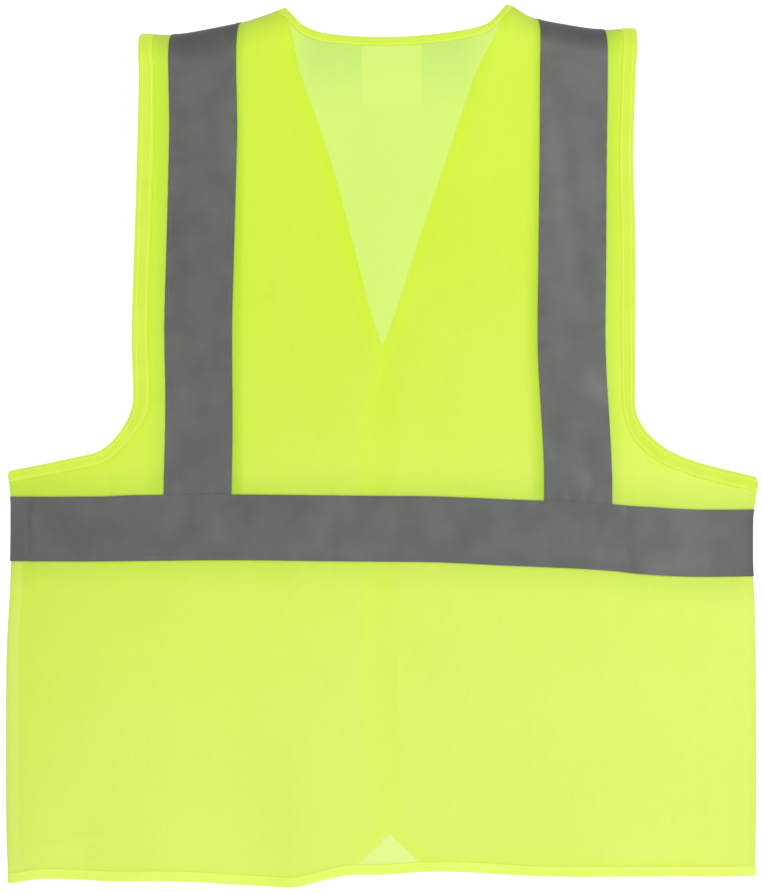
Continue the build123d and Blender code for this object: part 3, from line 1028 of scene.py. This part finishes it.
# ---- Tapes ---------------------------------------------------------------------------------------
def grid_piece(name, strip, layers, material, lap=0.0):
    """A closed strip from its rows of (faces, points), each row of the same length."""
    faces = np.stack([row[0] for row in strip])
    flat = np.stack([row[1] for row in strip])
    rows, columns = faces.shape
    inner, outer = layers
    sheets = [place(flat.reshape(-1, 2), faces.ravel(), proud, lap) for proud in (outer, inner)]
    top = []
    for i in range(rows - 1):
        for j in range(columns - 1):
            a = i * columns + j
            top.append((a, a + 1, a + columns + 1, a + columns))
    steps_along = np.linalg.norm(np.diff(flat[:, 0], axis=0), axis=1)
    steps_across = np.linalg.norm(np.diff(flat[0], axis=0), axis=1)
    uvs = np.zeros((rows, columns, 2))
    uvs[:, 1:, 0] = np.cumsum(steps_across)[None, :]
    uvs[1:, :, 1] = np.cumsum(steps_along)[:, None]
    uvs = np.concatenate([uvs.reshape(-1, 2)] * 2)
    every = closed_faces(top, rows * columns)
    piece = mesh_piece(name, np.concatenate(sheets), every, uvs, material)
    outward(piece)
    return piece


TAPE_STEP = 2.5 * MM
TAPE_COLUMNS = 21
TUCK = 6 * MM           # the brace tapes' ends go this far under the waist tape
STITCH_INSET = 2.6 * MM
TAPE_STITCH = (2.2 * MM, 2.9 * MM)      # a stitch's length and the rows' pitch in a tape
BRACE_HALF = 25.6 * MM                  # the brace tapes spread a little as they hang


def straight_row(face, x, z):
    """One row of a strip, on one face. x or z is the same at all its points."""
    x, z = np.broadcast_arrays(x, z)
    return np.full(len(x), face), np.stack([x, z], axis=1)


def waist_rows(low_x, high_x, face, step=TAPE_STEP):
    zs = np.linspace(WAIST_LOW_Z, WAIST_TOP_Z, TAPE_COLUMNS)
    count = round((high_x - low_x) / step)
    return [straight_row(face, x, zs) for x in np.linspace(low_x, high_x, count)]


def brace_rows(side):
    """Up the back, over the shoulder and down the front, straight in the pattern."""
    rows = []
    low = WAIST_TOP_Z - TUCK
    steps = round((ridge_point(BRACE_TOP_X)[1] - low) / TAPE_STEP)
    shares = np.linspace(0.0, 1.0, steps)
    for face, order in ((BACK, shares), (FRONT, shares[::-1][1:])):
        for t in order:
            points = []
            for across in np.linspace(-BRACE_HALF, BRACE_HALF, TAPE_COLUMNS):
                top_x, top_z = ridge_point(BRACE_TOP_X + across)
                low_x = BRACE_LOW_X + across
                points.append((side * (low_x + t * (top_x - low_x)), low + t * (top_z - low)))
            rows.append((np.full(TAPE_COLUMNS, face), np.array(points)))
    return rows


def rows_path(rows, column):
    """The path down one column of a strip's rows, with its cloth to the strip's inside."""
    faces = [row[0][column] for row in rows]
    points = np.array([row[1][column] for row in rows])
    inward = np.array([row[1][TAPE_COLUMNS // 2] for row in rows]) - points
    inward /= np.linalg.norm(inward, axis=1)[:, None]
    return Path(faces, points, inward)


def tape_stitches(rows, lap=0.0, proud=TAPE_OUT):
    """Two rows along a tape, one inside each edge."""
    paths = [rows_path(rows, column) for column in (0, TAPE_COLUMNS - 1)]
    return [(path, STITCH_INSET, proud, *TAPE_STITCH, lap) for path in paths]


waist_layers = (TAPE_IN + TAPE_OUT, 2 * TAPE_OUT)
waist_back_rows = waist_rows(-SIDE_X, SIDE_X, BACK)
waist_back = grid_piece("waist_tape_rear", waist_back_rows, waist_layers, tape)
waist_back_thread = thread_piece(
    "waist_tape_rear_threads", tape_stitches(waist_back_rows, 0.0, 2 * TAPE_OUT), tape_thread
)
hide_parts("waist_tape_back")
for piece in (waist_back, waist_back_thread):
    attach(piece, "vest_body")

front_tapes = {}
for name, side, lap in SIDES:
    free_end = -side * (OVERLAP_HALF - 3 * MM)
    low_x, high_x = sorted((free_end, side * SIDE_X))
    rows = waist_rows(low_x, high_x, FRONT, BEND_STEP)
    waist = grid_piece(f"{name}_waist_tape_front", rows, waist_layers, tape, lap)
    waist_thread = thread_piece(
        f"{name}_waist_tape_threads", tape_stitches(rows, lap, 2 * TAPE_OUT), tape_thread
    )
    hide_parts(f"{name}_waist_tape_side", f"{name}_flap_waist_tape")
    front_tapes[name] = (waist, waist_thread)
    rows = brace_rows(side)
    brace = grid_piece(f"{name}_brace", rows, (TAPE_IN, TAPE_OUT), tape)
    brace_thread = thread_piece(f"{name}_brace_threads", tape_stitches(rows), tape_thread)
    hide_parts(f"{name}_brace_tape")
    for piece in (brace, brace_thread):
        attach(piece, "vest_body")


# ---- Bindings ------------------------------------------------------------------------------------
EDGE_STEP = 3 * MM
RIDGE_DIRECTION = (math.cos(SHOULDER_SLOPE), -math.sin(SHOULDER_SLOPE))
STITCH = (1.9 * MM, 2.6 * MM)           # a stitch's length and the rows' pitch in the cloth
BAND_THICK = 0.55 * MM
HEM_THICK = 0.4 * MM


def bound_edge(name, path, width, material, lap=0.0, thick=BAND_THICK):
    """A folded binding along a path, and the row of stitches that holds it."""
    strip = swept_piece(name, path, fold_section(width, thick), material, lap)
    row = (path, width - 1.4 * MM, thick * 0.85, *STITCH, lap)
    threads = thread_piece(f"{name}_threads", [row], cloth_thread)
    return strip, threads


def ended(path):
    """A closed path as an open one that ends where it began, for a row of stitches."""
    faces, points, inward = path.faces, path.points, path.inward
    return Path([*faces, faces[0]], [*points, points[0]], [*inward, inward[0]])


neck_edge = evenly(on_side(neck, -1)[::-1] + neck[1:], EDGE_STEP)
neck_path = edge_path(
    neck_edge, BACK, -1, first=(-RIDGE_DIRECTION[0], RIDGE_DIRECTION[1]), last=RIDGE_DIRECTION
)
neck_strip, neck_threads = bound_edge("neck_band", neck_path, NECK_BAND, binding)
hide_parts("neck_binding")

for name, side, _ in SIDES:
    edge = on_side(evenly(armhole, EDGE_STEP), side)
    ridge_in = (-side * RIDGE_DIRECTION[0], -RIDGE_DIRECTION[1])
    path = edge_path(edge, BACK, -side, first=(ridge_in[0], -ridge_in[1]), last=(0.0, -1.0))
    loop = round_trip(path)
    section = fold_section(ARM_BAND, BAND_THICK)
    strip = swept_piece(f"{name}_armhole_band", loop, section, binding)
    rows = [(ended(loop), inset, 0.5 * MM, *STITCH, 0.0) for inset in (2.2 * MM, 8.4 * MM)]
    threads = thread_piece(f"{name}_armhole_threads", rows, cloth_thread)
    for piece in (strip, threads):
        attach(piece, "vest_body")
    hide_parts(f"{name}_armhole_binding")

hem_edge = evenly([(-SIDE_X, HEM_Z), (SIDE_X, HEM_Z)], EDGE_STEP)
hem_path = edge_path(hem_edge, BACK, 1)
hem_strip, hem_threads = bound_edge("back_hem", hem_path, HEM_BAND, hem_cloth, thick=HEM_THICK)
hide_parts("back_hem_binding")
for piece in (neck_strip, neck_threads, hem_strip, hem_threads):
    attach(piece, "vest_body")

front_trim = {}
for name, side, lap in SIDES:
    edge = on_side(evenly(front_edge, EDGE_STEP), side)
    path = edge_path(edge, FRONT, side, first=(side * RIDGE_DIRECTION[0], RIDGE_DIRECTION[1]))
    strip, threads = bound_edge(f"{name}_front_band", path, FRONT_BAND, binding, lap)
    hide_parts(f"{name}_front_edge_binding")
    start_x = CORNER_CUT_OUT + 6 * MM
    edge = evenly([(side * start_x, HEM_Z), (side * SIDE_X, HEM_Z)], BEND_STEP)
    path = edge_path(edge, FRONT, side)
    hem, hem_thread = bound_edge(
        f"{name}_front_hem", path, HEM_BAND, hem_cloth, lap, thick=HEM_THICK
    )
    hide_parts(f"{name}_side_hem_binding", f"{name}_flap_hem_binding")
    front_trim[name] = (strip, threads, hem, hem_thread)


# ---- Seams inside --------------------------------------------------------------------------------
ALLOWANCE_LAYERS = (-CLOTH - 0.75 * MM, -CLOTH - 0.08 * MM)


def side_seam_rows(side):
    """Beside the side fold, from the hem up to the armhole."""
    low_x, high_x = sorted((side * (SIDE_X - 9 * MM), side * SIDE_X))
    low_z, high_z = HEM_Z + HEM_BAND + 1 * MM, UNDERARM_Z - ARM_BAND - 1 * MM
    xs = np.linspace(low_x, high_x, 7)
    return [straight_row(BACK, xs, z) for z in np.arange(low_z, high_z, 4 * MM)]


def shoulder_seam_rows(side):
    """Along the shoulder line, 6 mm down the back and 6 mm down the front."""
    down = np.array((-math.sin(SHOULDER_SLOPE), -math.cos(SHOULDER_SLOPE)))
    steps = np.arange(-6, 8, 2)
    faces = np.where(steps <= 0, BACK, FRONT)
    rows = []
    for t in np.linspace(0.0, 1.0, 30):
        run = NECK_HALF + NECK_BAND + 3 * MM + t * (SHOULDER_HALF - NECK_HALF - 20 * MM)
        points = [np.array(ridge_point(run)) + down * abs(step) * MM for step in steps]
        rows.append((faces, np.array(points) * (side, 1)))
    return rows


for name, side, _ in SIDES:
    for kind, make_rows in (("side", side_seam_rows), ("shoulder", shoulder_seam_rows)):
        rows = make_rows(side)
        piece = grid_piece(f"{name}_{kind}_allowance", rows, ALLOWANCE_LAYERS, allowance)
        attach(piece, "vest_body")
        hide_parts(f"{name}_{kind}_seam")


# ---- Label ---------------------------------------------------------------------------------------
def rectangle(low_x, high_x, low_z, high_z):
    corners = [(low_x, low_z), (high_x, low_z), (high_x, high_z), (low_x, high_z)]
    return evenly(corners, 2.5 * MM, closed=True)


LABEL_SHIFT = 3 * MM       # this label is sewn a little to one side
label_seam_low, label_seam_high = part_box("label_seam")
label_depth = -HALF_DEPTH - label_low.y


def label_part(name, low, high, layers):
    outline = rectangle(label_low.x + LABEL_SHIFT, label_high.x + LABEL_SHIFT, low.z, high.z)
    return cut_piece(name, outline, BACK, layers, label_ribbon, 2.5 * MM)


label_layers = (label_depth - 0.55 * MM, label_depth - 0.3 * MM)
label = label_part("neck_label", label_low, label_high, label_layers)
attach(label, "care_label")
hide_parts("care_label")
label_top_layers = (-CLOTH - 0.65 * MM, -CLOTH - 0.4 * MM)
label_top = label_part("neck_label_seam", label_seam_low, label_seam_high, label_top_layers)
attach(label_top, "vest_body")
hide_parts("label_seam")

# ---- Hook-and-loop patches -----------------------------------------------------------------------
def bristle_rods(flat, foot, reach, lap, curl):
    """Small bent bristles on the front: four-sided, tapering, and bent over by curl."""
    rings = []
    for share in (0.0, 0.5, 0.8, 1.0):
        lean = curl * share * share
        shifted = flat + lean[:, None] * np.array([[1.0, 0.35]])
        centre = place(shifted, FRONT, foot + reach * math.sin(share * 2.2), lap)
        wide = 0.14 * MM * (1.0 - 0.55 * share)
        for dx, dz in ((1, 0), (0, 1), (-1, 0), (0, -1)):
            rings.append(centre + np.array([[dx * wide, 0.0, dz * wide]]))
    return np.stack(rings, axis=1)


# Each kind of patch: its body, lap and material, the layers of its ground, and where its
# bristles stand and how far they reach, outwards from the cloth's outer face.
UNDER = -CLOTH - 0.8 * MM
PATCHES = {
    "loop": ("right_front", 0.0, loop_base, (0.05 * MM, 0.7 * MM), 0.6 * MM, 0.45 * MM),
    "hook": ("left_front", LAP, hook_base, (UNDER, -CLOTH - 0.1 * MM), UNDER, -0.5 * MM),
}
seed = 5
for level in ("upper", "lower"):
    for kind, (body, lap, ground, layers, foot, reach) in PATCHES.items():
        low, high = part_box(f"{level}_{kind}_patch")
        outline = rectangle(low.x, high.x, low.z, high.z)
        patch = cut_piece(f"{level}_{kind}_pad", outline, FRONT, layers, ground, 2.5 * MM, lap)
        draw = np.random.default_rng(seed)
        seed += 2
        xs, zs = np.meshgrid(
            np.arange(low.x + 1.2 * MM, high.x - 1 * MM, 1.3 * MM),
            np.arange(low.z + 1.2 * MM, high.z - 1 * MM, 1.3 * MM),
        )
        flat = np.stack([xs.ravel(), zs.ravel()], axis=1)
        if kind == "loop":
            flat = flat + draw.normal(0.0, 0.3 * MM, flat.shape)
        curl = draw.uniform(0.3, 0.8, len(flat)) * MM * draw.choice([-1, 1], len(flat))
        bristles = bristle_rods(flat, foot, reach, lap, curl)
        tufts = rod_piece(f"{level}_{kind}_tufts", bristles, ground)
        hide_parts(f"{level}_{kind}_patch")
        for piece in (patch, tufts):
            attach(piece, body)

# ---- Fronts baked in place, and sizes of the pattern ---------------------------------------------
for name, side, _ in SIDES:
    for piece in (front_cloth[name], *front_tapes[name], *front_trim[name]):
        bend_open(piece, side)


def pattern_area(outline):
    total = 0.0
    for (ax, az), (bx, bz) in zip(outline, outline[1:] + outline[:1]):
        total += ax * bz - bx * az
    return abs(total) / 2


TOP_Z = ridge_point(NECK_HALF)[1]
2 * SIDE_X
TOP_Z - HEM_Z
pattern_area(back_outline())
for name, side, _ in SIDES:
    SIDE_X + OVERLAP_HALF
    TOP_Z - HEM_Z
    pattern_area(front_outline(side))
    width = SIDE_X + OVERLAP_HALF - 3 * MM
    length = 2 * (ridge_point(BRACE_TOP_X)[1] - WAIST_TOP_Z + TUCK)
2 * SIDE_X


# ---- Floor, light and camera ---------------------------------------------------------------------
def studio_floor():
    """A large pale floor a little below the hem."""
    size, level = 9.0, HEM_Z - 50 * MM
    mesh = bpy.data.meshes.new("floor")
    corners = [(x * size, y * size, level) for x, y in ((-1, -1), (1, -1), (1, 1), (-1, 1))]
    mesh.from_pydata(corners, [], [(0, 1, 2, 3)])
    material, tree = new_material("pale_floor")
    grain = noise_at(tree, node(tree, "ShaderNodeTexCoord").outputs["Object"], 3.0)
    colour = blended(tree, grain, (0.80, 0.80, 0.80, 1), (0.84, 0.84, 0.84, 1))
    finish = {
        "Base Color": colour,
        "Roughness": 0.9,
        "Emission Color": (1, 1, 1, 1),
        "Emission Strength": 0.60,
    }
    mesh.materials.append(shown(material, shader(tree, "BsdfPrincipled", finish)))
    scene_object("floor", mesh)


def area_light(name, place_at, aim, size, power, shine=1.0):
    """A square lamp turned to a point. shine is how much of it the glossy reflections show."""
    lamp = bpy.data.lights.new(name, "AREA")
    lamp.specular_factor = shine
    lamp.shape = "SQUARE"
    lamp.size = size
    lamp.energy = power
    holder = scene_object(name, lamp)
    holder.visible_camera = False
    holder.location = place_at
    ahead = [b - a for a, b in zip(place_at, aim)]
    reach = math.sqrt(sum(c * c for c in ahead))
    tilt = math.acos(-ahead[2] / reach)
    turn = math.atan2(ahead[1], ahead[0]) - math.pi / 2
    holder.rotation_euler = (tilt, 0.0, turn)


def studio_light():
    """White surroundings, shown at full white behind the vest, and three large soft lamps."""
    world = bpy.data.worlds.new("studio")
    world.use_nodes = True
    tree = world.node_tree
    tree.nodes.clear()
    seen = Value(node(tree, "ShaderNodeLightPath").outputs["Is Camera Ray"])
    glow = {"Color": (1, 1, 1, 1), "Strength": seen * 0.43 + 0.65}
    node(tree, "ShaderNodeOutputWorld", {0: shader(tree, "Background", glow)})
    bpy.context.scene.world = world
    middle = (0.0, 0.0, HEM_Z / 2)
    area_light("key", (1.4, -2.3, 0.75), middle, 1.1, 42, 0.35)
    area_light("soft", (-2.4, -1.0, 0.9), middle, 1.4, 15)
    area_light("fill", (1.8, 2.2, 0.9), middle, 2.0, 8)


LENS = 135.0
SENSOR = 36.0
VIEW_HEIGHT = 673.3 * MM
VIEW_CENTRE = (-3.0 * MM, -331.4 * MM)


def studio_camera():
    """Square on to the back, level with its middle."""
    data = bpy.data.cameras.new("camera")
    data.lens = LENS
    data.sensor_width = SENSOR
    camera = scene_object("camera", data)
    distance = VIEW_HEIGHT * LENS / SENSOR
    camera.location = (VIEW_CENTRE[0], -HALF_DEPTH - distance, VIEW_CENTRE[1])
    camera.rotation_euler = (math.pi / 2, 0.0, 0.0)
    bpy.context.scene.camera = camera


studio_floor()
studio_light()
studio_camera()
bpy.context.scene.view_settings.view_transform = "Standard"
bpy.context.scene.view_settings.look = "None"

bpy.context.view_layer.update()
